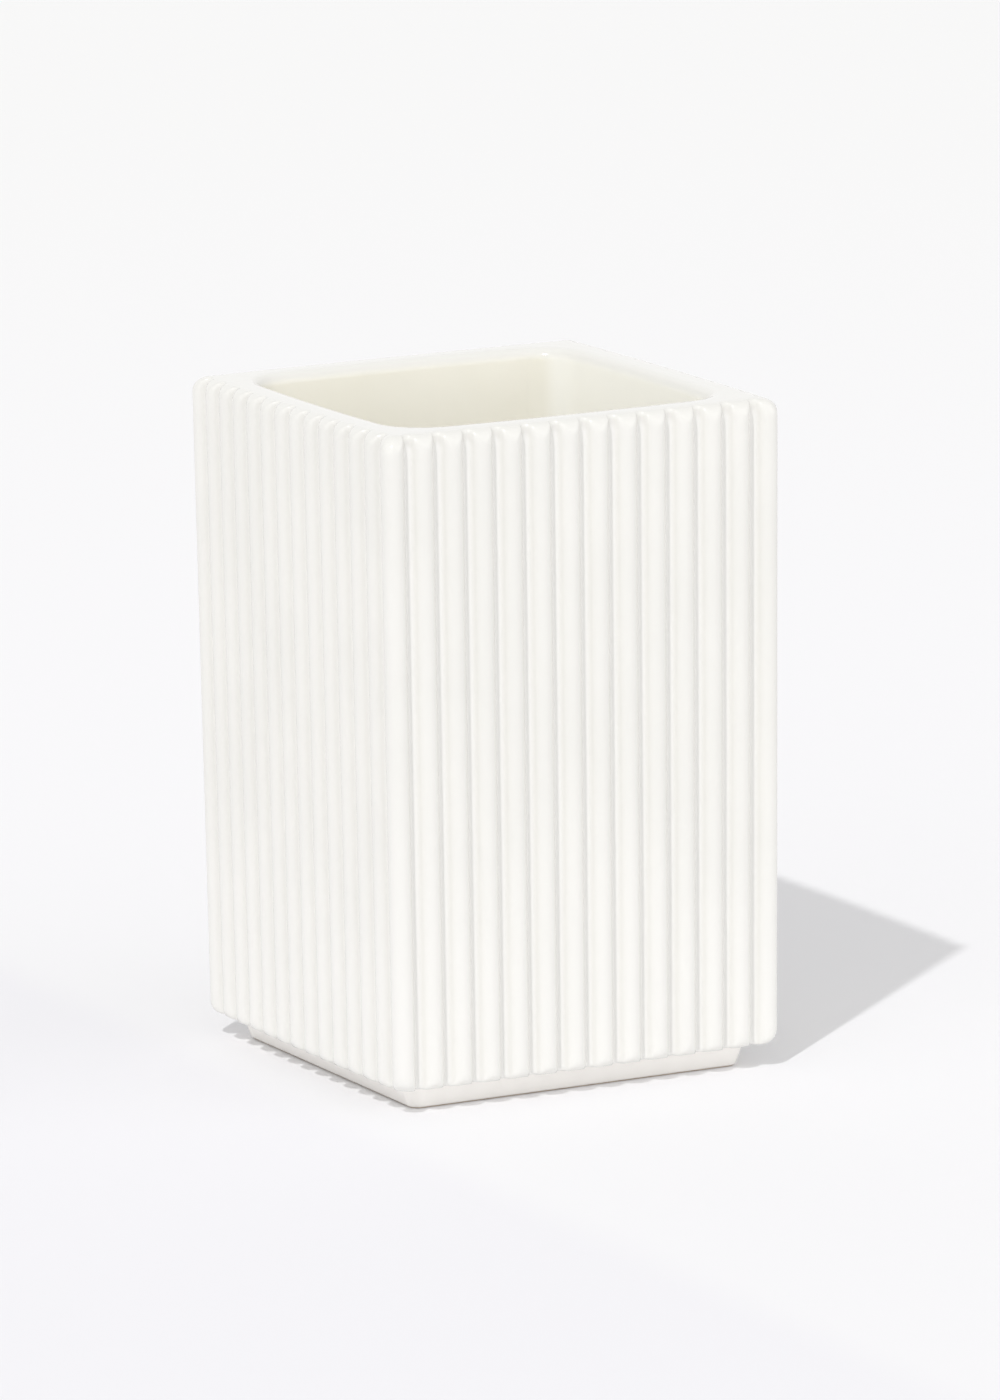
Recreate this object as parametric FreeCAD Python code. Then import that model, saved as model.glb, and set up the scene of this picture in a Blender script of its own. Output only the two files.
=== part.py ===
import FreeCAD, Part
import math
import os

# Square, reeded pen holder cup in glazed stoneware, millimetres, +Z up.
# The origin is the middle of the cup's footprint, on the surface that it stands on.
# The cup is one fired piece of clay. The glaze is a glassy coat on top of it, in three
# separate areas: outside, inside and in the hollow under the base.
# A "depth" below is always measured inwards from the glaze's surface: 0 gives the surface
# that is seen, and the glaze's thickness gives the clay under it.

# Driving dimensions
height = 110.5
rib_pitch = 5.2
gaps_per_side = 13
rib_radius = 0.36 * rib_pitch
groove_radius = 0.16 * rib_pitch
side_bow = 0.10 * rib_pitch
base_to_rim_scale = 0.977
glaze_thickness = 0.35

# Rim
rim_outer_radius = 2.5
rim_inner_radius = 1.9
corner_top_radius = 2.8
crown_clearance = 0.03

# Well for the pens
wall_at_groove = 4.9
well_corner_radius = 7.3
well_floor_height = 8.0
well_floor_radius = 5.0

# Foot that the cup stands on
foot_height = 4.0
foot_base_half = 29.8
foot_flare = 1.5
foot_corner_radius = 1.8
foot_joint = 1.0
rib_foot_radius = 1.5
corner_foot_radius = 2.2
bare_clay_height = 0.4

# Hollow under the foot
foot_ring_width = 4.5
hollow_corner_radius = 4.0
hollow_depth = 1.6

# A solid that only cuts away reaches this far past what it cuts.
cut_margin = 5.0
level_tolerance = 1e-4
quarter_turn = 90.0
corner_turn = 45.0

# The ribs' centres lie on a square of this half width, with slightly bowed sides.
core_half = gaps_per_side * rib_pitch / 2
arc_gap = rib_radius + groove_radius
groove_inset = groove_radius - math.sqrt(arc_gap**2 - (rib_pitch / 2) ** 2)
well_half = core_half - groove_inset - wall_at_groove
hollow_half = foot_base_half - foot_ring_width

# The middle of the rim's flat, between its two rounded edges.
rim_flat_inside = well_half + rim_inner_radius
rim_flat_outside = core_half + rib_radius - rim_outer_radius
rim_flat_middle = (rim_flat_inside + rim_flat_outside) / 2


def scale_at(z):
    """The cup narrows evenly from its rim down to its base."""
    return base_to_rim_scale + (1 - base_to_rim_scale) * z / height


def placed(point, scale, z):
    return FreeCAD.Vector(point[0] * scale, point[1] * scale, z)


def arc_through(points, scale, z):
    start, middle, end = [placed(point, scale, z) for point in points]
    return Part.Arc(start, middle, end).toShape()


def quarter_turned(point, quarters):
    """The point, turned about the cup's axis by a number of quarter turns."""
    x, y = point
    for _ in range(quarters):
        x, y = -y, x
    return x, y


def stepped(point, direction, length):
    """The point, moved by a length along a direction of any size."""
    size = math.hypot(*direction)
    return (point[0] + direction[0] / size * length, point[1] + direction[1] / size * length)


def between(start, end):
    return (end[0] - start[0], end[1] - start[1])


def bow_centre(half):
    """How far behind the axis the centre of the front side's arc lies, for a square this half wide."""
    return (half**2 - side_bow**2 - 2 * half * side_bow) / (2 * side_bow)


def bowed_y(x, half):
    """Y of the front side of a bowed square with sharp corners, at a given X."""
    behind = bow_centre(half)
    return behind - math.sqrt((half + side_bow + behind) ** 2 - x**2)


def loft_between(outline_at, low, high):
    """A solid with straight sides between one outline's places at two levels."""
    return Part.makeLoft([outline_at(low), outline_at(high)], True, True)


def level_edges(solid, z):
    """The edges of a solid that lie flat at one level."""
    return [
        edge
        for edge in solid.Edges
        if abs(edge.BoundBox.ZMin - z) < level_tolerance and abs(edge.BoundBox.ZMax - z) < level_tolerance
    ]


def soft_square(half, corner_radius, scale, z):
    """A square outline with bowed sides and round corners, this half wide at its corners."""
    core = half - corner_radius
    slope = math.atan2(core, core + bow_centre(core))
    corner = (core, -core)
    side_end = stepped(corner, (math.sin(slope), -math.cos(slope)), corner_radius)
    corner_end = (-side_end[1], -side_end[0])
    side = [(-side_end[0], side_end[1]), (0.0, -core - side_bow - corner_radius), side_end]
    turn = [side_end, stepped(corner, (1, -1), corner_radius), corner_end]
    edges = []
    for quarters in range(4):
        for points in (side, turn):
            turned = [quarter_turned(point, quarters) for point in points]
            edges.append(arc_through(turned, scale, z))
    return Part.Wire(edges)


def plain_square(half, corner_radius, z):
    """A square outline with straight sides and round corners."""
    core = half - corner_radius
    side = [(-core, -half), (core, -half)]
    turn = [side[1], stepped((core, -core), (1, -1), corner_radius), (half, -core)]
    edges = []
    for quarters in range(4):
        start, end = [placed(quarter_turned(point, quarters), 1.0, z) for point in side]
        edges.append(Part.makeLine(start, end))
        edges.append(arc_through([quarter_turned(point, quarters) for point in turn], 1.0, z))
    return Part.Wire(edges)


def rib_centres():
    """Centres of all ribs in order round the cup, one on each corner and the rest evenly between."""
    centres = []
    for quarters in range(4):
        for step in range(gaps_per_side):
            x = -core_half + step * rib_pitch
            centres.append(quarter_turned((x, bowed_y(x, core_half)), quarters))
    return centres


def groove_between(first, second):
    """Centre of the groove that touches two neighbouring ribs, and the way out of the cup there."""
    gap = between(first, second)
    half_gap = math.hypot(*gap) / 2
    middle = stepped(first, gap, half_gap)
    outward = (gap[1], -gap[0])
    return stepped(middle, outward, math.sqrt(arc_gap**2 - half_gap**2)), outward


def reeded_outline(depth, scale, z):
    """The ribs and grooves round the cup, as arcs that touch each other."""
    crown = rib_radius - depth
    hollow = groove_radius + depth
    ribs = rib_centres()
    grooves = [groove_between(ribs[i - 1], ribs[i]) for i in range(len(ribs))]
    edges = []
    for i, rib in enumerate(ribs):
        following = (i + 1) % len(ribs)
        before, before_outward = grooves[i]
        after, after_outward = grooves[following]
        start = stepped(rib, between(rib, before), crown)
        end = stepped(rib, between(rib, after), crown)
        outward = (before_outward[0] + after_outward[0], before_outward[1] + after_outward[1])
        edges.append(arc_through([start, stepped(rib, outward, crown), end], scale, z))
        groove_end = stepped(ribs[following], between(ribs[following], after), crown)
        groove_floor = stepped(after, after_outward, -hollow)
        edges.append(arc_through([end, groove_floor, groove_end], scale, z))
    return Part.Wire(edges)


def reeded_block(depth):
    """Ribs and grooves over the full height, with their ends still cut square."""
    return loft_between(lambda z: reeded_outline(depth, scale_at(z), z), foot_height, height)


def slab_outline(depth, z):
    """A bowed front and back, with straight ends that stand clear of the ribs."""
    reach = rib_radius + crown_clearance - depth
    side = core_half + cut_margin
    end_y = bowed_y(side, core_half) - reach
    front = [(-side, end_y), (0.0, bowed_y(0.0, core_half) - reach), (side, end_y)]
    back = [quarter_turned(point, 2) for point in front]
    edges = []
    for bow, following in ((front, back), (back, front)):
        edges.append(arc_through(bow, scale_at(z), z))
        edges.append(Part.makeLine(placed(bow[2], scale_at(z), z), placed(following[0], scale_at(z), z)))
    return Part.Wire(edges)


def corner_slab_outline(depth, z):
    """A flat face clear of the corner rib at the right and the left, once turned to the corners."""
    face_x = core_half * math.sqrt(2) + rib_radius + crown_clearance - depth
    end_y = (core_half + cut_margin) * math.sqrt(2)
    corners = [(face_x, -end_y), (face_x, end_y), (-face_x, end_y), (-face_x, -end_y)]
    return Part.makePolygon([placed(corner, scale_at(z), z) for corner in corners + corners[:1]])


def is_bow(edge):
    return edge.Curve.TypeId == "Part::GeomCircle"


def is_corner_face_edge(edge):
    return edge.BoundBox.XLength < level_tolerance


def rounded_slab(outline_at, is_rounded, depth, foot_radius, top_radius):
    """A slab as high as the ribs, with its chosen edges rounded at the bottom and at the top."""
    low = foot_height + depth
    high = height - depth
    slab = loft_between(lambda z: outline_at(depth, z), low, high)
    for z, radius in ((low, foot_radius), (high, top_radius)):
        chosen = [edge for edge in level_edges(slab, z) if is_rounded(edge)]
        slab = slab.makeFillet(radius - depth, chosen)
    return slab


def turned_about_axis(solid, angle):
    copy = solid.copy()
    copy.rotate(FreeCAD.Vector(0, 0, 0), FreeCAD.Vector(0, 0, 1), angle)
    return copy


def rounded_envelope(depth):
    """The block that rounds off both ends of the ribs, and those of the corner ribs some more."""
    sides = rounded_slab(slab_outline, is_bow, depth, rib_foot_radius, rim_outer_radius)
    corners = rounded_slab(
        corner_slab_outline, is_corner_face_edge, depth, corner_foot_radius, corner_top_radius
    )
    envelope = sides.common(turned_about_axis(sides, quarter_turn))
    envelope = envelope.common(turned_about_axis(corners, corner_turn))
    return envelope.common(turned_about_axis(corners, corner_turn + quarter_turn))


def foot_block(depth):
    """The plain foot under the ribs. Its sides lean inwards on the way down."""
    base_half = foot_base_half - depth
    corner = foot_corner_radius - depth
    base = plain_square(base_half, corner, 0.0)
    top = plain_square(base_half + foot_flare, corner + foot_flare, foot_height)
    neck = plain_square(base_half, corner, foot_height + foot_joint)
    flared = Part.makeLoft([base, top], True, True)
    return flared.fuse(Part.makeLoft([top, neck], True, True))


def well_block(depth):
    """The space that the pens stand in, with its floor's edge rounded."""
    low = well_floor_height - depth
    half = well_half + depth
    corner = well_corner_radius + depth
    block = loft_between(lambda z: soft_square(half, corner, scale_at(z), z), low, height)
    return block.makeFillet(well_floor_radius + depth, level_edges(block, low))


def reach_of(edge):
    """How far an edge's middle is from the cup's axis, along X or Y."""
    middle = edge.valueAt((edge.FirstParameter + edge.LastParameter) / 2)
    return max(abs(middle.x), abs(middle.y))


def cup_form(depth):
    """The whole cup, open at the top, with a soft rim."""
    form = reeded_block(depth).common(rounded_envelope(depth))
    form = form.fuse(foot_block(depth))
    form = form.cut(well_block(depth))
    mouth = [edge for edge in level_edges(form, height - depth) if reach_of(edge) < rim_flat_inside]
    return form.makeFillet(rim_inner_radius - depth, mouth)


def hollow_block(low, high):
    """The shallow hollow inside the foot ring, between two levels."""
    return loft_between(lambda z: plain_square(hollow_half, hollow_corner_radius, z), low, high)


def splitting_block():
    """A block that ends halfway across the rim, so it holds the well's glaze and none from outside."""
    low = (hollow_depth + well_floor_height) / 2
    high = height + cut_margin
    return loft_between(
        lambda z: soft_square(rim_flat_middle, well_corner_radius, scale_at(z), z), low, high
    )


def wiped_block():
    """The lowest band of the foot, where the glaze is wiped off before firing."""
    span = 4 * core_half
    corner = FreeCAD.Vector(-span / 2, -span / 2, -cut_margin)
    return Part.makeBox(span, span, cut_margin + bare_clay_height, corner)


def ceramic_body(clay):
    """The fired clay, bare on the foot ring's base and its lowest edge."""
    return clay.cut(hollow_block(-cut_margin, hollow_depth))


def glaze_coat(glazed, clay):
    """The glaze over the outside, the rim and the well, still in one piece."""
    return glazed.cut(clay).cut(wiped_block())


def base_glaze():
    """The glaze on the ceiling of the hollow under the foot."""
    return hollow_block(hollow_depth - glaze_thickness, hollow_depth)


def all_parts():
    clay = cup_form(glaze_thickness)
    coat = glaze_coat(cup_form(0.0), clay)
    splitter = splitting_block()
    return {
        "ceramic_body": ceramic_body(clay),
        "outer_glaze": coat.cut(splitter),
        "inner_glaze": coat.common(splitter),
        "base_glaze": base_glaze(),
    }


os.makedirs("parts", exist_ok=True)
for name, shape in all_parts().items():
    print(name, shape.isValid(), len(shape.Solids), round(shape.Volume, 1))
    shape.exportStep(f"parts/{name}.step")
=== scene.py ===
import math

import bpy
import numpy as np
from mathutils import Matrix, Vector, noise


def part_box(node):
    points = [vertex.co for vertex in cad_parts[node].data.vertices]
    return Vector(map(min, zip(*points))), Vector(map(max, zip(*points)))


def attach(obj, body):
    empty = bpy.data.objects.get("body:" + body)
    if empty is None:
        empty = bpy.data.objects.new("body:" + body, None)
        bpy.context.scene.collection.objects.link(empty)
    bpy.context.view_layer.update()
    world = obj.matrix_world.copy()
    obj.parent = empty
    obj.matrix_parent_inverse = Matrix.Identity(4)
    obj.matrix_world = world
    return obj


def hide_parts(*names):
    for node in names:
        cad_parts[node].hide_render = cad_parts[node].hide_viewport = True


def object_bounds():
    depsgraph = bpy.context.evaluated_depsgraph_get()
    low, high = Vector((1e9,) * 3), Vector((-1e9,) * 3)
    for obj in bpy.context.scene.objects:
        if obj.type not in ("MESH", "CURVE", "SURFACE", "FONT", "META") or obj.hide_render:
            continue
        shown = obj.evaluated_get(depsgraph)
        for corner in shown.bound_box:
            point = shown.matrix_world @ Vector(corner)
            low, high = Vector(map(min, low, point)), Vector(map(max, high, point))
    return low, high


# Looks of a square, reeded pen holder cup in glazed stoneware, in metres, +Z up.
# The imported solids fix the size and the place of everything. The two glaze skins that show
# from outside are rebuilt here with softened edges, and the bare clay and the glaze under
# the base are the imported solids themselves.

MM = 0.001

# Proportions of the ribs, as shares of the distance between two of them
GAPS_PER_SIDE = 13
RIB_RADIUS_SHARE = 0.36
GROOVE_RADIUS_SHARE = 0.16
SIDE_BOW_SHARE = 0.10
BASE_TO_RIM_SCALE = 0.977

# Columns of the skins' meshes. The well's skin keeps one column in so many.
CROWN_STEPS = 12
CORNER_STEPS = 18
GROOVE_STEPS = 6
WELL_STRIDE = 4

# Rim
RIM_OUTER_RADIUS = 2.5 * MM
RIM_INNER_RADIUS = 1.9 * MM
RIM_CORNER_RADIUS = 1.5 * MM
CORNER_TOP_RADIUS = 2.8 * MM
CROWN_CLEARANCE = 0.03 * MM

# Well
WALL_AT_GROOVE = 4.9 * MM
WELL_CORNER_RADIUS = 7.3 * MM
WELL_FLOOR_HEIGHT = 8.0 * MM
WELL_FLOOR_RADIUS = 5.0 * MM

# Foot, and the ribs' lower ends above it
FOOT_HEIGHT = 4.0 * MM
FOOT_BASE_HALF = 29.8 * MM
FOOT_FLARE = 1.5 * MM
FOOT_CORNER_RADIUS = 1.8 * MM
FOOT_JUNCTION_RADIUS = 0.6 * MM
BARE_CLAY_HEIGHT = 0.15 * MM
GLAZE_BEAD = 0.3 * MM
RIB_FOOT_RADIUS = 1.5 * MM
CORNER_FOOT_RADIUS = 2.2 * MM

# Glaze coat, and how far its surface wanders from the true shape
SKIN_THICKNESS = 0.30 * MM
WAVE_HEIGHT = 0.04 * MM
WAVE_LENGTH = 14.0 * MM
WAVE_STRETCH = 3.0
WAVE_SEED = 2

# How finely the rounded ends of the ribs are worked out, softened and kept as rows
END_REACH = 6.5 * MM
ACROSS_SAMPLES = 60
UPRIGHT_SAMPLES = 12
FINE_SAMPLES = 81
SOFTENING_ROUNDS = 24
LOW_END_ROWS = 17
HIGH_END_ROWS = 21
MIDDLE_LEVELS = 5

# Steps round the small fillets, and down the wall of the well
BEAD_STEPS = 4
JUNCTION_STEPS = 5
WELL_ROUND_STEPS = 9
WELL_WALL_STEPS = 14

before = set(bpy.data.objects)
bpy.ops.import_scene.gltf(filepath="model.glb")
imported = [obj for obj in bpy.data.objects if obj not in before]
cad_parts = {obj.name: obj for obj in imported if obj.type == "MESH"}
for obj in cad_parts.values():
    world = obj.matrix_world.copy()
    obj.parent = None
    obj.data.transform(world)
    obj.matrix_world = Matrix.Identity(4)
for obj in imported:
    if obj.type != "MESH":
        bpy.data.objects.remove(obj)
cad_low, cad_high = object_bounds()
glaze_low, glaze_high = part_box("outer_glaze")

rim_height = glaze_high.z
rib_pitch = (glaze_high.x - glaze_low.x) / (GAPS_PER_SIDE + 2 * (SIDE_BOW_SHARE + RIB_RADIUS_SHARE))
rib_radius = RIB_RADIUS_SHARE * rib_pitch
groove_radius = GROOVE_RADIUS_SHARE * rib_pitch
side_bow = SIDE_BOW_SHARE * rib_pitch
core_half = GAPS_PER_SIDE * rib_pitch / 2
arc_gap = rib_radius + groove_radius
groove_inset = groove_radius - math.sqrt(arc_gap**2 - (rib_pitch / 2) ** 2)
well_half = core_half - groove_inset - WALL_AT_GROOVE
flat_outside = core_half + rib_radius - RIM_OUTER_RADIUS
seam_half = (flat_outside + well_half + RIM_INNER_RADIUS) / 2


def scale_at(z):
    """The cup narrows evenly from its rim down to its base."""
    return BASE_TO_RIM_SCALE + (1 - BASE_TO_RIM_SCALE) * z / rim_height


def turned(point, quarters):
    """The point, turned about the cup's axis by a number of quarter turns."""
    x, y = point
    for _ in range(quarters % 4):
        x, y = -y, x
    return x, y


def side_of(point):
    """How many quarter turns the side that a point faces is away from the front."""
    x, y = point
    if abs(x) > abs(y):
        return 1 if x > 0 else 3
    return 2 if y > 0 else 0


def bow_centre(half):
    """How far behind the axis the centre of the front side's arc lies, for a square this half wide."""
    return (half**2 - side_bow**2 - 2 * half * side_bow) / (2 * side_bow)


def bowed_y(x, half):
    """Y of the front side of a bowed square with sharp corners, at a given X."""
    behind = bow_centre(half)
    return behind - math.sqrt((half + side_bow + behind) ** 2 - x**2)


def foot_on_square(point, half):
    """The nearest place to a point on a sharp bowed square, and how far outside it the point is."""
    quarters = side_of(point)
    x, y = turned(point, -quarters)
    behind = bow_centre(half)
    reach = half + side_bow + behind
    distance = math.hypot(x, y - behind)
    place = (x * reach / distance, behind + (y - behind) * reach / distance)
    outside = distance - reach
    if abs(place[0]) > half:
        place = (math.copysign(half, x), -half)
        outside = math.hypot(x - place[0], y - place[1])
    return turned(place, quarters), outside


def onto_square(point, half, radius):
    """The nearest place to a point on a bowed square with round corners."""
    place, outside = foot_on_square(point, half - radius)
    share = radius / outside
    return tuple(p + (q - p) * share for p, q in zip(place, point))


def onto_foot(point, grown):
    """The nearest place to a point on the foot's straight-sided square, grown outwards by a length."""
    core = FOOT_BASE_HALF - FOOT_CORNER_RADIUS
    place = [min(max(along, -core), core) for along in point]
    outside = math.hypot(point[0] - place[0], point[1] - place[1])
    share = (FOOT_CORNER_RADIUS + grown) / outside
    return tuple(p + (q - p) * share for p, q in zip(place, point))


def rib_centres():
    """Centres of all ribs in order round the cup, one on each corner and the rest evenly between."""
    centres = []
    for quarters in range(4):
        for step in range(GAPS_PER_SIDE):
            x = -core_half + step * rib_pitch
            centres.append(turned((x, bowed_y(x, core_half)), quarters))
    return centres


def groove_centre(first, second):
    """Centre of the groove that touches two neighbouring ribs."""
    gap = (second[0] - first[0], second[1] - first[1])
    length = math.hypot(*gap)
    out = math.sqrt(arc_gap**2 - (length / 2) ** 2) / length
    return (first[0] + gap[0] / 2 + gap[1] * out, first[1] + gap[1] / 2 - gap[0] * out)


def arc(centre, radius, first, last, steps):
    """Places on an arc about a centre, from facing one point to facing another, without the last."""
    start = math.atan2(first[1] - centre[1], first[0] - centre[0])
    end = math.atan2(last[1] - centre[1], last[0] - centre[0])
    sweep = (end - start) % math.tau
    if radius < 0:
        sweep -= math.tau
    angles = [start + sweep * step / steps for step in range(steps)]
    return [
        (centre[0] + abs(radius) * math.cos(angle), centre[1] + abs(radius) * math.sin(angle))
        for angle in angles
    ]


def reeded_outline():
    """Places round the ribs and grooves at the rim's scale, from the middle of a corner rib."""
    ribs = rib_centres()
    grooves = [groove_centre(ribs[i - 1], ribs[i]) for i in range(len(ribs))]
    places = []
    for i, rib in enumerate(ribs):
        steps = CROWN_STEPS if i % GAPS_PER_SIDE else CORNER_STEPS
        following = (i + 1) % len(ribs)
        groove = grooves[following]
        places += arc(rib, rib_radius, grooves[i], groove, steps)
        places += arc(groove, -groove_radius, rib, ribs[following], GROOVE_STEPS)
    start = CORNER_STEPS // 2
    return places[start:] + places[:start]


outline = reeded_outline()
rim_line = [onto_square(place, flat_outside, RIM_CORNER_RADIUS) for place in outline]

# Without a seed of its own, the noise would give the surface other waves on every run.
noise.seed_set(WAVE_SEED)


def waved(x, y, z):
    """The place, moved sideways a little, as cast and fired clay is never quite true."""
    at = Vector((x, y, z / WAVE_STRETCH)) / WAVE_LENGTH
    shift = noise.noise_vector(at) * WAVE_HEIGHT
    return (x + shift.x, y + shift.y, z)


def square_row(line, half, radius, z, scale):
    """One row of the mesh that follows a bowed square."""
    return [
        (x * scale, y * scale, z)
        for x, y in (onto_square(place, half, radius) for place in line)
    ]


def quarter_angles(steps):
    """Evenly spaced angles over a quarter turn, with both ends."""
    return [math.pi / 2 * step / steps for step in range(steps + 1)]


def foot_rows():
    """The glaze on the foot's side, from its beaded lower edge up to the ribs' underside."""
    rows = []

    def foot_row(z, outwards):
        grown = FOOT_FLARE * z / FOOT_HEIGHT + outwards
        return [(*onto_foot(place, grown), z) for place in rim_line]

    for angle in quarter_angles(BEAD_STEPS):
        depth = SKIN_THICKNESS * (1 - math.sin(angle))
        rows.append(foot_row(BARE_CLAY_HEIGHT + GLAZE_BEAD * (1 - math.cos(angle)), -depth))
    for angle in quarter_angles(JUNCTION_STEPS):
        z = FOOT_HEIGHT - FOOT_JUNCTION_RADIUS * (1 - math.sin(angle))
        rows.append(foot_row(z, FOOT_JUNCTION_RADIUS * (1 - math.cos(angle))))
    return rows


def side_distances(x, y):
    """How far outside the line of the ribs' centres each place is, for all four sides."""
    behind = bow_centre(core_half)
    reach = core_half + side_bow + behind
    return [np.hypot(u, v - behind) - reach for u, v in ((x, y), (y, x), (x, -y), (y, -x))]


def end_drop(x, y, side_radius, corner_radius):
    """How far the ribs' ends are rounded off at each place, measured along the cup's axis."""
    reach = rib_radius + CROWN_CLEARANCE
    diagonal = (np.abs(x) + np.abs(y) - 2 * core_half) / math.sqrt(2)
    cuts = [(distance, side_radius) for distance in side_distances(x, y)]
    cuts.append((diagonal, corner_radius))
    drop = np.zeros_like(x)
    for distance, radius in cuts:
        over = np.clip(distance - reach + radius, 0.0, radius)
        drop = np.maximum(drop, radius - np.sqrt(radius**2 - over**2))
    return drop


def between(start, end, count):
    """Evenly spaced places from each start to its end, as columns by places by X and Y."""
    share = np.linspace(0.0, 1.0, count)[None, :, None]
    return start[:, None, :] * (1 - share) + end[:, None, :] * share


def softened(paths, kept):
    """Paths walked in even steps, with their sharp bends softened, thinned to some places each."""
    even = np.empty((len(paths), FINE_SAMPLES, 3))
    for number, path in enumerate(paths):
        steps = np.linalg.norm(np.diff(path, axis=0), axis=1)
        walked = np.concatenate(([0.0], np.cumsum(steps)))
        stops = np.linspace(0.0, walked[-1], FINE_SAMPLES)
        for axis in range(3):
            even[number, :, axis] = np.interp(stops, walked, path[:, axis])
    for _ in range(SOFTENING_ROUNDS):
        even[:, 1:-1] = (even[:, :-2] + 2 * even[:, 1:-1] + even[:, 2:]) / 4
    chosen = np.linspace(0, FINE_SAMPLES - 1, kept).round().astype(int)
    return even[:, chosen]


def scaled_rows(paths):
    """Paths at the rim's scale, as rows of finished places."""
    rows = []
    for step in range(paths.shape[1]):
        rows.append([(x * scale_at(z), y * scale_at(z), z) for x, y, z in paths[:, step].tolist()])
    return rows


def upright(line, low, high, count):
    """Straight lines up the wall between two levels, which may differ from column to column."""
    levels = np.linspace(0.0, 1.0, count)[None, :] * (high - low)[:, None] + low[:, None]
    places = np.repeat(line[:, None, :], count, axis=1)
    return np.concatenate((places, levels[:, :, None]), axis=2)


def over_ends(across, top, side_radius, corner_radius):
    """Places across the ribs' ends, each put on the rounded surface there."""
    drop = end_drop(across[..., 0], across[..., 1], side_radius, corner_radius)
    level = rim_height - drop if top else FOOT_HEIGHT + drop
    return np.concatenate((across, level[..., None]), axis=2)


def wall_rows():
    """The underside, the round lower ends of the ribs, the wall, and the ribs' round upper ends."""
    walls = np.array(outline)
    rim = np.array(rim_line)
    foot_top = [onto_foot(place, FOOT_FLARE + FOOT_JUNCTION_RADIUS) for place in rim_line]
    inner = np.array(foot_top) / scale_at(FOOT_HEIGHT)
    low_reach = np.full(len(walls), FOOT_HEIGHT + END_REACH)
    high_reach = np.full(len(walls), rim_height - END_REACH)
    foot_radii = (RIB_FOOT_RADIUS, CORNER_FOOT_RADIUS)
    rim_radii = (RIM_OUTER_RADIUS, CORNER_TOP_RADIUS)
    under = over_ends(between(inner, walls, ACROSS_SAMPLES), False, *foot_radii)
    low_wall = upright(walls, under[:, -1, 2], low_reach, UPRIGHT_SAMPLES)
    low_end = softened(np.concatenate((under, low_wall[:, 1:]), axis=1), LOW_END_ROWS)
    over = over_ends(between(walls, rim, ACROSS_SAMPLES), True, *rim_radii)
    high_wall = upright(walls, high_reach, over[:, 0, 2], UPRIGHT_SAMPLES)
    seam = np.array([onto_square(place, seam_half, WELL_CORNER_RADIUS) for place in rim_line])
    flat = over_ends(between(rim, seam, UPRIGHT_SAMPLES), True, *rim_radii)
    high_end = softened(np.concatenate((high_wall, over[:, 1:], flat[:, 1:]), axis=1), HIGH_END_ROWS)
    middle = upright(walls, low_reach, high_reach, MIDDLE_LEVELS)[:, 1:-1]
    return scaled_rows(low_end[:, 1:]) + scaled_rows(middle) + scaled_rows(high_end[:, :-1])


def well_rows():
    """The glaze of the well, from the seam on the rim down to the flat floor."""
    line = rim_line[::WELL_STRIDE]
    rows = [square_row(line, seam_half, WELL_CORNER_RADIUS, rim_height, 1.0)]

    def well_row(inwards, z):
        return square_row(line, well_half - inwards, WELL_CORNER_RADIUS - inwards, z, scale_at(z))

    for angle in quarter_angles(WELL_ROUND_STEPS):
        back = RIM_INNER_RADIUS * (1 - math.sin(angle))
        rows.append(well_row(-back, rim_height - RIM_INNER_RADIUS * (1 - math.cos(angle))))
    top = rim_height - RIM_INNER_RADIUS
    bottom = WELL_FLOOR_HEIGHT + WELL_FLOOR_RADIUS
    for step in range(1, WELL_WALL_STEPS):
        rows.append(well_row(0.0, top + (bottom - top) * step / WELL_WALL_STEPS))
    for angle in quarter_angles(WELL_ROUND_STEPS):
        inwards = WELL_FLOOR_RADIUS * (1 - math.cos(angle))
        rows.append(well_row(inwards, bottom - WELL_FLOOR_RADIUS * math.sin(angle)))
    return rows


def ring_faces(row_count, columns):
    """Quads between neighbouring rows that each close on themselves."""
    faces = []
    for row in range(row_count - 1):
        for column in range(columns):
            after = (column + 1) % columns
            low, high = row * columns, (row + 1) * columns
            faces.append((low + column, low + after, high + after, high + column))
    return faces


def floor_patch(row, first_index, next_index):
    """Points and quads that fill a closed row with a square grid, whose edges are the row itself."""
    side = len(row) // 4
    corners = [row[side * k] for k in range(4)]

    def edge(k, step):
        return row[(side * k + step) % len(row)]

    points, index = [], {}
    for i in range(side + 1):
        for j in range(side + 1):
            if i == 0:
                index[i, j] = first_index + (len(row) - j) % len(row)
            elif i == side:
                index[i, j] = first_index + side + j
            elif j == 0:
                index[i, j] = first_index + i
            elif j == side:
                index[i, j] = first_index + 3 * side - i
            else:
                u, v = i / side, j / side
                place = []
                for axis in range(3):
                    across = (1 - v) * edge(0, i)[axis] + v * edge(2, side - i)[axis]
                    along = (1 - u) * edge(3, side - j)[axis] + u * edge(1, j)[axis]
                    near = (1 - u) * corners[0][axis] + u * corners[1][axis]
                    far = (1 - u) * corners[3][axis] + u * corners[2][axis]
                    place.append(across + along - (1 - v) * near - v * far)
                index[i, j] = next_index + len(points)
                points.append(tuple(place))
    faces = [
        (index[i, j], index[i + 1, j], index[i + 1, j + 1], index[i, j + 1])
        for i in range(side)
        for j in range(side)
    ]
    return points, faces


def mark_rim_sharp(mesh):
    """Keeps the shading of an open mesh's last faces clear of the coat's cut edge."""
    uses = {}
    for face in mesh.polygons:
        for key in face.edge_keys:
            uses[key] = uses.get(key, 0) + 1
    for edge in mesh.edges:
        edge.use_edge_sharp = uses[edge.key] == 1


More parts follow.
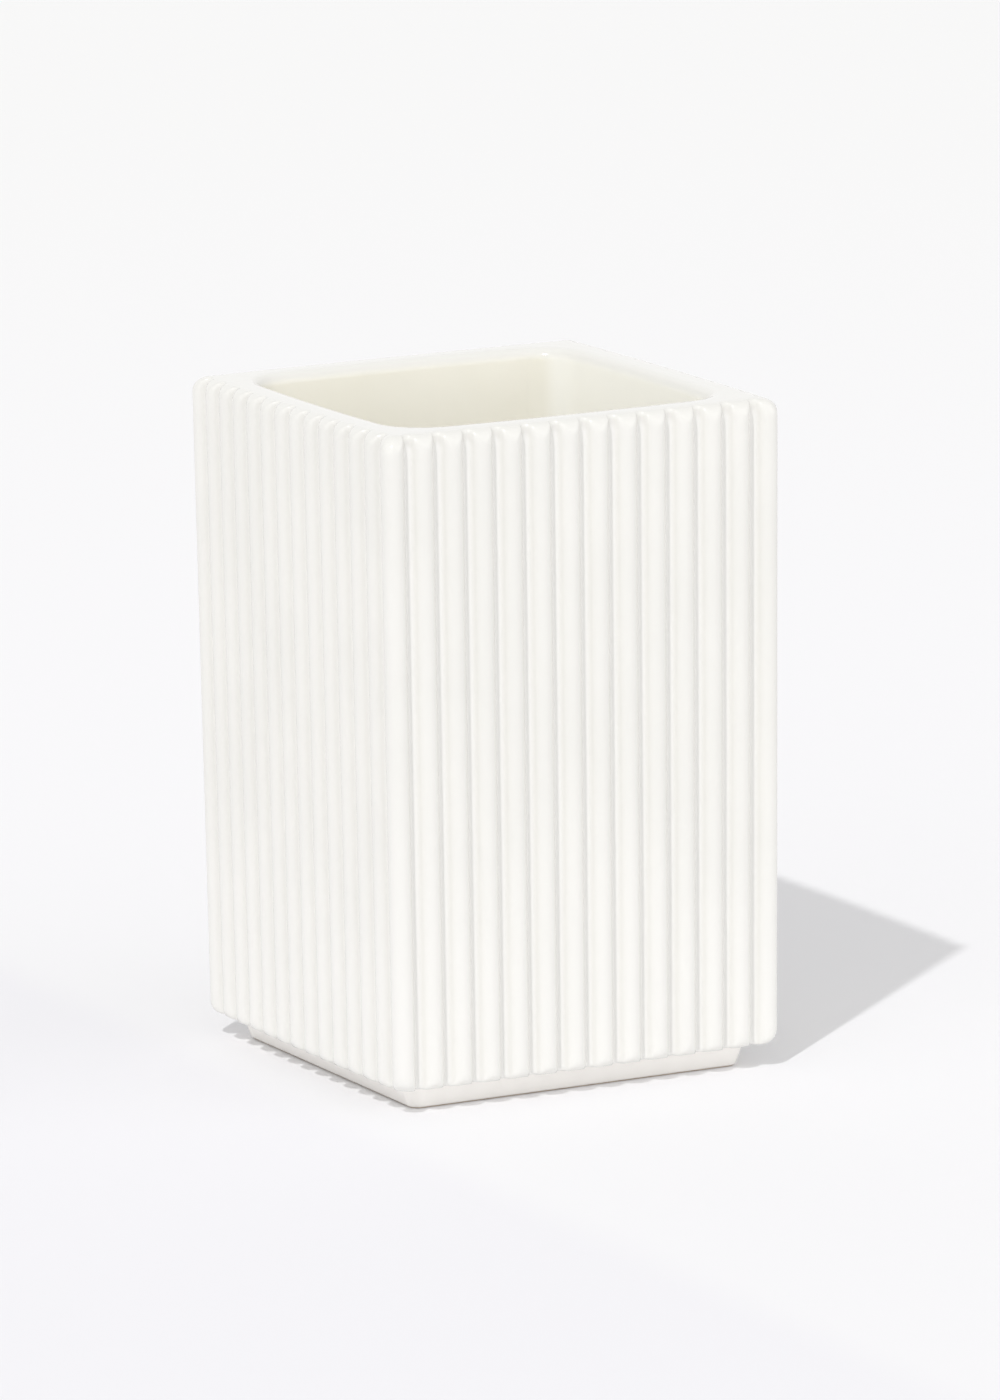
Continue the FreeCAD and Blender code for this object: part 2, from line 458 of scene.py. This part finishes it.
def make_piece(name, points, faces, pooled, replaced):
    """A smooth skin that rides with the cup and stands for a packed glaze solid."""
    mesh = bpy.data.meshes.new(name)
    mesh.from_pydata(points, [], faces)
    mesh.update()
    mesh.shade_smooth()
    mark_rim_sharp(mesh)
    values = mesh.attributes.new("pooled", "FLOAT", "POINT")
    values.data.foreach_set("value", pooled)
    piece = bpy.data.objects.new(name, mesh)
    bpy.context.scene.collection.objects.link(piece)
    coat = piece.modifiers.new("coat", "SOLIDIFY")
    coat.thickness = SKIN_THICKNESS
    coat.offset = -1.0
    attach(piece, "root")
    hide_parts(replaced)
    return piece


def build_outer_skin(well_seam):
    """The glaze over the foot, ribs and rim, as far as the seam where the well's glaze begins."""
    foot = foot_rows()
    rows = foot + wall_rows()
    seam = []
    for column in range(len(outline)):
        before = well_seam[column // WELL_STRIDE]
        after = well_seam[(column // WELL_STRIDE + 1) % len(well_seam)]
        share = column % WELL_STRIDE / WELL_STRIDE
        seam.append(tuple(a + (b - a) * share for a, b in zip(before, after)))
    rows.append(seam)
    deepest = rib_radius + groove_inset
    hollows = [(rib_radius - foot_on_square(place, core_half)[1]) / deepest for place in outline]
    # The foot's rows carry the mark that gives them painted light
    pooled = [FOOT_PAINTED_LIGHT_MARK] * (len(foot) * len(outline))
    for row in rows[len(foot):]:
        for (_, _, z), hollow in zip(row, hollows):
            near_rim = max(0.0, 1 - (rim_height - z) / RIM_OUTER_RADIUS)
            pooled.append(hollow * (1 - near_rim))
    points = [waved(*place) for row in rows for place in row]
    faces = ring_faces(len(rows), len(outline))
    return make_piece("outer_glaze_skin", points, faces, pooled, "outer_glaze")


def build_inner_skin(rows):
    """The glaze that lines the well, closed by a grid of quads over the flat of its floor."""
    columns = len(rows[0])
    points = [place for row in rows for place in row]
    faces = ring_faces(len(rows), columns)
    more, floor_faces = floor_patch(rows[-1], len(points) - columns, len(points))
    points += more
    pooled = [max(0.0, 1 - (z - WELL_FLOOR_HEIGHT) / WELL_FLOOR_RADIUS) for _, _, z in points]
    points = [waved(*place) for place in points]
    return make_piece("inner_glaze_skin", points, faces + floor_faces, pooled, "inner_glaze")


# Materials

# Each glaze's colours: in the open, where it pools, and where the coat is thin
GLAZE_OUTSIDE = ((0.79, 0.781, 0.745), (0.875, 0.867, 0.84), (0.81, 0.80, 0.764))
GLAZE_INSIDE = ((0.926, 0.905, 0.812), (0.895, 0.87, 0.77), (0.938, 0.916, 0.832))
GLAZE_UNDER_BASE = ((0.80, 0.78, 0.72), (0.76, 0.735, 0.65), (0.82, 0.80, 0.75))

# Sizes of the glaze's clouds, gloss patches, ripples and orange peel, as waves per metre
CLOUD_SCALE = 45.0
DRIFT_SCALE = 90.0
RIPPLE_SCALE = 260.0
PEEL_SCALE = 1100.0
RIPPLE_HEIGHT = 0.04 * MM
PEEL_HEIGHT = 0.01 * MM
GLAZE_IOR = 1.5

# The pooled colour starts at this level in a groove. It also fades in down the lower wall as painted
# light, a paler tone standing in for light thrown up from the floor
POOLED_FROM = 0.45
PAINTED_FLOOR_LIGHT_HEIGHT = 60 * MM
PAINTED_FLOOR_LIGHT_SHARE = 0.45

# The foot's side is marked by a level above all others and gets a paler colour of its own, painted
# light standing in for light that reaches under the ledge
FOOT_PAINTED_LIGHT_MARK = 2.0
PAINTED_FOOT_LIGHT_COLOUR = (0.985, 0.962, 0.92)

# The rim's colour fades out below the top of the cup
RIM_FADE = 2.0 * MM
RIM_COLOUR = (0.80, 0.79, 0.755)

# Painted light: the wall of the well on +X is painted paler than the others, from within its corners,
# standing in for more light falling on it
PAINTED_LIT_WALL_START = 3.6 * MM
PAINTED_LIT_WALL_FULL = 1.2 * MM
PAINTED_LIT_WALL_COLOUR = (0.998, 0.99, 0.935)

CLAY_DARK = (0.60, 0.49, 0.38)
CLAY_LIGHT = (0.68, 0.57, 0.46)
GROG_COLOUR = (0.36, 0.26, 0.19)
CLAY_SCALE = 120.0
GROG_SCALE = 2600.0
GRAIN_SCALE = 1800.0
GRAIN_HEIGHT = 0.08 * MM


def new_material(name):
    """An empty material, with its node tree and its shader."""
    material = bpy.data.materials.new(name)
    material.use_nodes = True
    tree = material.node_tree
    return material, tree, tree.nodes["Principled BSDF"]


def noise_node(tree, coordinates, scale, detail, roughness):
    """A cloudy pattern between 0 and 1."""
    node = tree.nodes.new("ShaderNodeTexNoise")
    node.inputs["Scale"].default_value = scale
    node.inputs["Detail"].default_value = detail
    node.inputs["Roughness"].default_value = roughness
    tree.links.new(coordinates, node.inputs["Vector"])
    return node.outputs["Fac"]


def ramp(tree, value, low, high, to_low, to_high):
    """A smooth change from one number to another while a value passes from low to high."""
    node = tree.nodes.new("ShaderNodeMapRange")
    node.interpolation_type = "SMOOTHSTEP"
    for name, number in zip(("From Min", "From Max", "To Min", "To Max"), (low, high, to_low, to_high)):
        node.inputs[name].default_value = number
    tree.links.new(value, node.inputs["Value"])
    return node.outputs["Result"]


def maths(tree, operation, first, second):
    """One step of arithmetic on two numbers or sockets."""
    node = tree.nodes.new("ShaderNodeMath")
    node.operation = operation
    for socket, value in zip(node.inputs, (first, second)):
        if isinstance(value, bpy.types.NodeSocket):
            tree.links.new(value, socket)
        else:
            socket.default_value = value
    return node.outputs["Value"]


def mix(tree, factor, first, second):
    """A blend of two colours, each given as numbers or as a socket."""
    node = tree.nodes.new("ShaderNodeMix")
    node.data_type = "RGBA"
    tree.links.new(factor, node.inputs["Factor"])
    for socket, value in ((node.inputs[6], first), (node.inputs[7], second)):
        if isinstance(value, bpy.types.NodeSocket):
            tree.links.new(value, socket)
        else:
            socket.default_value = (*value, 1.0)
    return node.outputs[2]


def bump(tree, height, strength, distance, below=None):
    """A surface made uneven by a pattern, on top of another bump if one is given."""
    node = tree.nodes.new("ShaderNodeBump")
    node.inputs["Strength"].default_value = strength
    node.inputs["Distance"].default_value = distance
    tree.links.new(height, node.inputs["Height"])
    if below is not None:
        tree.links.new(below, node.inputs["Normal"])
    return node.outputs["Normal"]


def glaze_material(name, body_colour, pooled_colour, thin_colour, painted_lit_wall=False):
    """Glossy cream glaze, whose colour changes where it pools and towards the rim, with painted light
    that makes it paler low on the wall, on the foot's side and, if asked, on the well's +X wall.
    """
    material, tree, shader = new_material(name)
    where = tree.nodes.new("ShaderNodeTexCoord").outputs["Object"]
    pooled = tree.nodes.new("ShaderNodeAttribute")
    pooled.attribute_name = "pooled"
    cloud = noise_node(tree, where, CLOUD_SCALE, 3.0, 0.55)
    tone = mix(tree, ramp(tree, cloud, 0.35, 0.65, 0.0, 1.0), body_colour, thin_colour)
    depth = ramp(tree, pooled.outputs["Fac"], POOLED_FROM, 1.0, 0.0, 1.0)
    apart = tree.nodes.new("ShaderNodeSeparateXYZ")
    tree.links.new(where, apart.inputs["Vector"])
    # Painted light: the lower wall is made paler towards the floor
    painted_floor_light = ramp(tree, apart.outputs["Z"], 0.0, PAINTED_FLOOR_LIGHT_HEIGHT, PAINTED_FLOOR_LIGHT_SHARE, 0.0)
    tone = mix(tree, maths(tree, "MAXIMUM", depth, painted_floor_light), tone, pooled_colour)
    # Painted light: the foot's side under the ledge is made paler than the glaze elsewhere
    painted_light_under_ledge = ramp(tree, pooled.outputs["Fac"], 1.0, FOOT_PAINTED_LIGHT_MARK, 0.0, 1.0)
    tone = mix(tree, painted_light_under_ledge, tone, PAINTED_FOOT_LIGHT_COLOUR)
    # Painted light on the well's +X wall
    if painted_lit_wall:
        start, full = well_half - PAINTED_LIT_WALL_START, well_half - PAINTED_LIT_WALL_FULL
        on_painted_lit_wall = ramp(tree, apart.outputs["X"], start, full, 0.0, 1.0)
        tone = mix(tree, on_painted_lit_wall, tone, PAINTED_LIT_WALL_COLOUR)
    start, full = rim_height - RIM_FADE, rim_height - RIM_FADE / 3
    on_rim = ramp(tree, apart.outputs["Z"], start, full, 0.0, 1.0)
    tone = mix(tree, on_rim, tone, RIM_COLOUR)
    tree.links.new(tone, shader.inputs["Base Color"])
    drift = noise_node(tree, where, DRIFT_SCALE, 2.0, 0.5)
    tree.links.new(ramp(tree, drift, 0.3, 0.7, 0.13, 0.19), shader.inputs["Roughness"])
    ripple = bump(tree, noise_node(tree, where, RIPPLE_SCALE, 2.0, 0.5), 0.35, RIPPLE_HEIGHT)
    peel = bump(tree, noise_node(tree, where, PEEL_SCALE, 2.0, 0.5), 0.25, PEEL_HEIGHT, ripple)
    tree.links.new(peel, shader.inputs["Normal"])
    shader.inputs["IOR"].default_value = GLAZE_IOR
    return material


def clay_material(name):
    """Bare fired stoneware: buff brown, dull, with fine grog in it."""
    material, tree, shader = new_material(name)
    where = tree.nodes.new("ShaderNodeTexCoord").outputs["Object"]
    cloud = noise_node(tree, where, CLAY_SCALE, 4.0, 0.6)
    tone = mix(tree, ramp(tree, cloud, 0.3, 0.7, 0.0, 1.0), CLAY_DARK, CLAY_LIGHT)
    grog = noise_node(tree, where, GROG_SCALE, 2.0, 0.7)
    tone = mix(tree, ramp(tree, grog, 0.58, 0.72, 0.0, 0.6), tone, GROG_COLOUR)
    tree.links.new(tone, shader.inputs["Base Color"])
    tree.links.new(ramp(tree, grog, 0.3, 0.7, 0.92, 0.78), shader.inputs["Roughness"])
    grain = bump(tree, noise_node(tree, where, GRAIN_SCALE, 5.0, 0.65), 0.6, GRAIN_HEIGHT)
    tree.links.new(grain, shader.inputs["Normal"])
    return material


def floor_material():
    """Plain pale paper with painted light and shade: a painted soft shadow makes it a touch duller
    beyond a line that passes left of the cup, and it is painted paler near the cup than far away.
    """
    material, tree, shader = new_material("pale_paper")
    where = tree.nodes.new("ShaderNodeTexCoord").outputs["Object"]
    apart = tree.nodes.new("ShaderNodeSeparateXYZ")
    tree.links.new(where, apart.inputs["Vector"])
    start, full = -PAINTED_SHADE_DISTANCE - PAINTED_SHADE_SOFTNESS, -PAINTED_SHADE_DISTANCE + PAINTED_SHADE_SOFTNESS
    # Painted shade: the side beyond the line gets the duller colour
    lit = ramp(tree, apart.outputs["X"], start, full, 0.0, 1.0)
    length = tree.nodes.new("ShaderNodeVectorMath")
    length.operation = "LENGTH"
    tree.links.new(where, length.inputs[0])
    far = ramp(tree, length.outputs["Value"], FAR_START, FAR_FULL, 0.0, 1.0)
    near_tone = mix(tree, lit, FLOOR_PAINTED_SHADE, FLOOR_PAINTED_LIGHT)
    tree.links.new(mix(tree, far, near_tone, FLOOR_FAR), shader.inputs["Base Color"])
    shader.inputs["Roughness"].default_value = 0.95
    shader.inputs["Specular IOR Level"].default_value = 0.1
    return material


def give_material(piece, material):
    """Puts one material on the whole of a piece, whether or not it has slots already."""
    if piece.material_slots:
        for place in piece.material_slots:
            place.link = "OBJECT"
            place.material = material
    else:
        piece.data.materials.append(material)


# Studio

# The paper, with painted light and shade: painted paler near the cup, painted shade that makes it
# duller beyond a soft line left of it, and an even tone far away
FLOOR_RINGS = (0.2, 0.6, 1.5, 3.0, 6.0)
FLOOR_SIDES = 96
FLOOR_GAP = 0.02 * MM
FLOOR_PAINTED_LIGHT = (0.895, 0.89, 0.905)
FLOOR_PAINTED_SHADE = (0.87, 0.863, 0.89)
FLOOR_FAR = (0.884, 0.882, 0.88)
PAINTED_SHADE_DISTANCE = 43 * MM
PAINTED_SHADE_SOFTNESS = 7 * MM
FAR_START = 0.1
FAR_FULL = 1.2

# Surroundings, as the camera sees them and as they light the cup
SKY_SEEN = (0.947, 0.956, 0.973)
EVEN_LIGHT = 0.525

# Soft boxes: degrees to the camera's right, degrees up, how gathered the light is, its strength
SOFT_BOXES = {
    "front": (0.0, 35.0, 5.0, 0.32),
    "right": (75.0, 3.0, 5.0, 1.24),
    "left": (-35.0, 0.0, 5.0, 0.72),
    "back": (-135.0, 35.0, 5.0, 0.23),
    "backdrop": (180.0, 3.0, 3.0, 0.50),
}

# Key light, small enough for a crisp shadow, with its angles in degrees
KEY_AZIMUTH = -48.4
KEY_ELEVATION = 49.4
KEY_STRENGTH = 1.23
KEY_SPREAD = 1.4

# Camera: a long lens aimed from in front and a little above. Its distance from the middle of the
# rim is in rib pitches: away, to the right and down, each along its own axes.
SENSOR_WIDTH = 36.0
CLIP_END = 100.0
CAMERA_AZIMUTH = -27.414
CAMERA_ELEVATION = 11.359
CAMERA_ROLL = -0.838
CAMERA_PITCHES_AWAY = 333.07
CAMERA_PITCHES_RIGHT = 0.408
CAMERA_PITCHES_DOWN = 9.775
CAMERA_LENS = 274.88


def direction(azimuth, elevation):
    """The way from the cup towards a light or camera, with azimuth 0 in front of it."""
    a, e = math.radians(azimuth), math.radians(elevation)
    return Vector((math.sin(a) * math.cos(e), -math.cos(a) * math.cos(e), math.sin(e)))


def build_floor():
    """A large flat disc, made of rings of quads round a middle face."""
    points, faces = [], []
    for radius in FLOOR_RINGS:
        for side in range(FLOOR_SIDES):
            angle = math.tau * side / FLOOR_SIDES
            points.append((radius * math.cos(angle), radius * math.sin(angle), 0.0))
    faces.append(tuple(range(FLOOR_SIDES)))
    for low, high, after, upper in ring_faces(len(FLOOR_RINGS), FLOOR_SIDES):
        faces.append((upper, after, high, low))
    mesh = bpy.data.meshes.new("paper_floor")
    mesh.from_pydata(points, [], faces)
    floor = bpy.data.objects.new("paper_floor", mesh)
    bpy.context.scene.collection.objects.link(floor)
    floor.location.z = cad_low.z - FLOOR_GAP
    give_material(floor, floor_material())


def soft_box(tree, where, azimuth, elevation, sharpness, strength):
    """Light from one side of the studio, fading out smoothly around its middle."""
    facing = tree.nodes.new("ShaderNodeVectorMath")
    facing.operation = "DOT_PRODUCT"
    facing.inputs[1].default_value = direction(azimuth, elevation)
    tree.links.new(where, facing.inputs[0])
    share = maths(tree, "POWER", maths(tree, "MAXIMUM", facing.outputs["Value"], 0.0), sharpness)
    return maths(tree, "MULTIPLY", share, strength)


def build_sky():
    """Even studio surroundings, with large soft boxes in front, low at both sides, and behind."""
    world = bpy.data.worlds.new("studio")
    bpy.context.scene.world = world
    world.use_nodes = True
    tree = world.node_tree
    background = tree.nodes["Background"]
    output = tree.nodes["World Output"]
    where = tree.nodes.new("ShaderNodeTexCoord").outputs["Generated"]
    boxes = [
        soft_box(tree, where, CAMERA_AZIMUTH + to_the_right, elevation, sharpness, power)
        for to_the_right, elevation, sharpness, power in SOFT_BOXES.values()
    ]
    strength = EVEN_LIGHT
    for box in boxes:
        strength = maths(tree, "ADD", box, strength)
    tree.links.new(strength, background.inputs["Strength"])
    background.inputs["Color"].default_value = (1.0, 1.0, 1.0, 1.0)
    seen = tree.nodes.new("ShaderNodeBackground")
    seen.inputs["Color"].default_value = (*SKY_SEEN, 1.0)
    path = tree.nodes.new("ShaderNodeLightPath")
    choice = tree.nodes.new("ShaderNodeMixShader")
    tree.links.new(path.outputs["Is Camera Ray"], choice.inputs["Fac"])
    tree.links.new(background.outputs["Background"], choice.inputs[1])
    tree.links.new(seen.outputs["Background"], choice.inputs[2])
    tree.links.new(choice.outputs["Shader"], output.inputs["Surface"])


def build_key():
    """The one light that casts a clear shadow, from the upper left of the camera."""
    lamp = bpy.data.lights.new("key", "SUN")
    lamp.energy = KEY_STRENGTH
    lamp.angle = math.radians(KEY_SPREAD)
    key = bpy.data.objects.new("key", lamp)
    bpy.context.scene.collection.objects.link(key)
    key.rotation_mode = "QUATERNION"
    key.rotation_quaternion = direction(KEY_AZIMUTH, KEY_ELEVATION).to_track_quat("Z", "Y")


def build_camera():
    """The camera, turned a little about its own axis."""
    camera = bpy.data.objects.new("camera", bpy.data.cameras.new("camera"))
    bpy.context.scene.collection.objects.link(camera)
    camera.data.sensor_width = SENSOR_WIDTH
    camera.data.lens = CAMERA_LENS
    camera.data.clip_end = CLIP_END
    back = direction(CAMERA_AZIMUTH, CAMERA_ELEVATION)
    azimuth = math.radians(CAMERA_AZIMUTH)
    right = Vector((math.cos(azimuth), math.sin(azimuth), 0.0))
    up = back.cross(right)
    roll = math.radians(CAMERA_ROLL)
    across = right * math.cos(roll) + up * math.sin(roll)
    upright = up * math.cos(roll) - right * math.sin(roll)
    steps = back * CAMERA_PITCHES_AWAY + right * CAMERA_PITCHES_RIGHT - up * CAMERA_PITCHES_DOWN
    place = Vector((0.0, 0.0, rim_height)) + steps * rib_pitch
    turn = Matrix((across, upright, back)).transposed().to_4x4()
    camera.matrix_world = Matrix.Translation(place) @ turn
    bpy.context.scene.camera = camera


inner_rows = well_rows()
outer_skin = build_outer_skin(inner_rows[0])
inner_skin = build_inner_skin(inner_rows)

outer_cream = glaze_material("cream_glaze_outside", *GLAZE_OUTSIDE)
inner_cream = glaze_material("cream_glaze_inside", *GLAZE_INSIDE, painted_lit_wall=True)
base_cream = glaze_material("cream_glaze_under_base", *GLAZE_UNDER_BASE)
give_material(outer_skin, outer_cream)
give_material(inner_skin, inner_cream)
give_material(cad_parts["base_glaze"], base_cream)
give_material(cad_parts["ceramic_body"], clay_material("bare_stoneware"))

build_floor()
build_sky()
build_key()
build_camera()
bpy.context.scene.view_settings.view_transform = "Standard"
